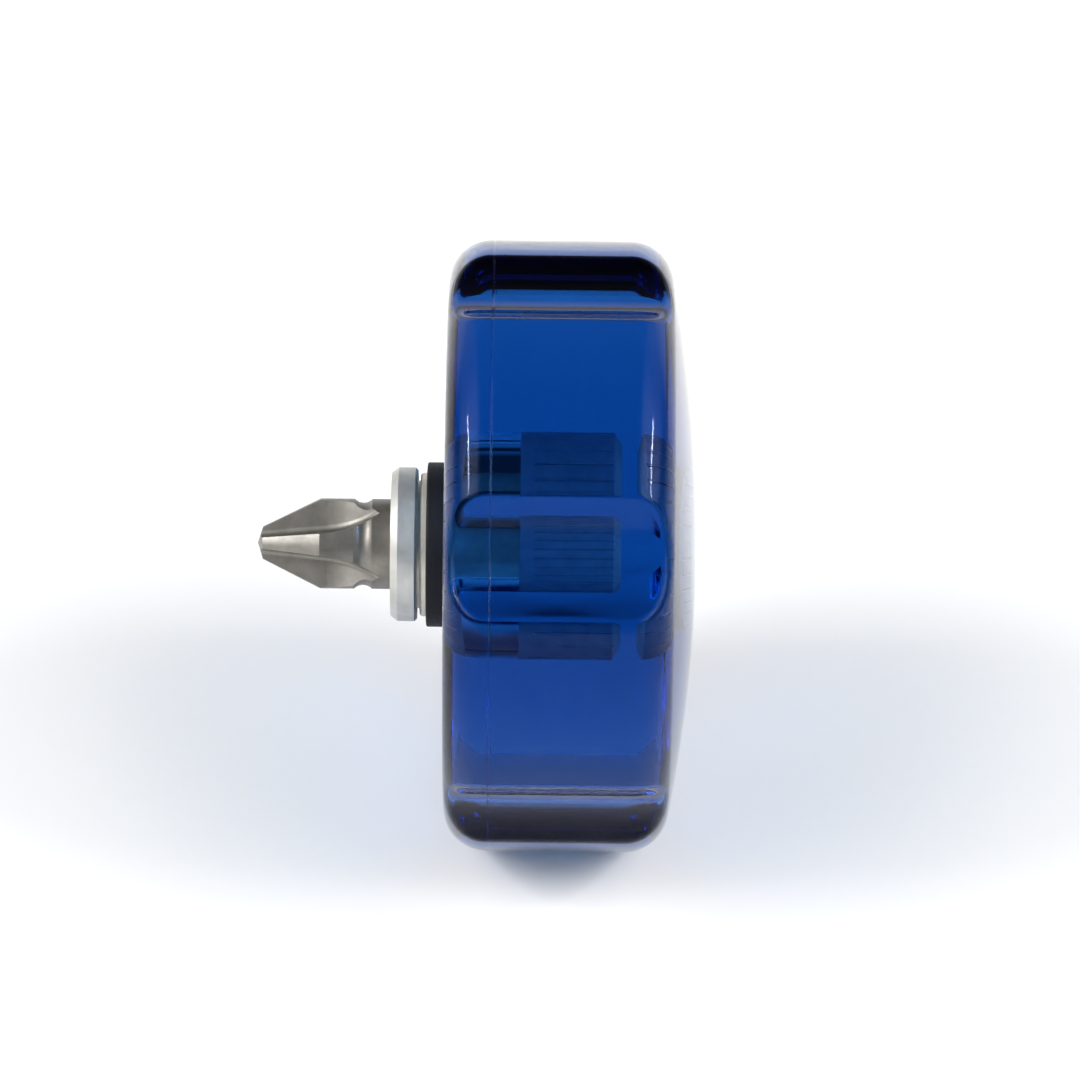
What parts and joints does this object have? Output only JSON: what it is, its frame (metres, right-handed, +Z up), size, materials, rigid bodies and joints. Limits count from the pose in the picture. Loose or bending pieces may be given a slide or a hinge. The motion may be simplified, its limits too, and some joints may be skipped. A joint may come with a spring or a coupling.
{
  "type": "stubby palm bit screwdriver",
  "caption": "Stubby palm screwdriver: a scalloped clear-blue round knob with a domed back, a steel bit holder and a removable Phillips insert bit.",
  "frame": {"origin": "the tip of the bit, on the tool axis", "axes": "+X runs along the tool axis from the tip to the knob's domed back; +Z is up as the knob stands on its rim, with one finger groove facing straight down"},
  "size_m": [0.0309, 0.043, 0.042],
  "materials": {
    "clear_blue_plastic": "clear transparent moulding, polished",
    "holder_steel": "turned, bright",
    "collar_steel": "turned, bright nickel",
    "black_rubber": "matt black",
    "cup_steel": "satin, ribbed along its length",
    "spring_steel": "plain",
    "bit_steel": "satin, bead blasted"
  },
  "bodies": {
    "driver": {"knob": "clear_blue_plastic", "bit_holder": "holder_steel", "nose_collar": "collar_steel", "sealing_ring": "black_rubber", "anchor_cup": "cup_steel", "retaining_clip": "spring_steel"},
    "bit": {"bit": "bit_steel"}
  },
  "joints": [
    {"name": "bit_pull", "type": "slide", "parent": "driver", "child": "bit", "axis": [-1, 0, 0], "range_m": [0, 0.0175]}
  ]
}
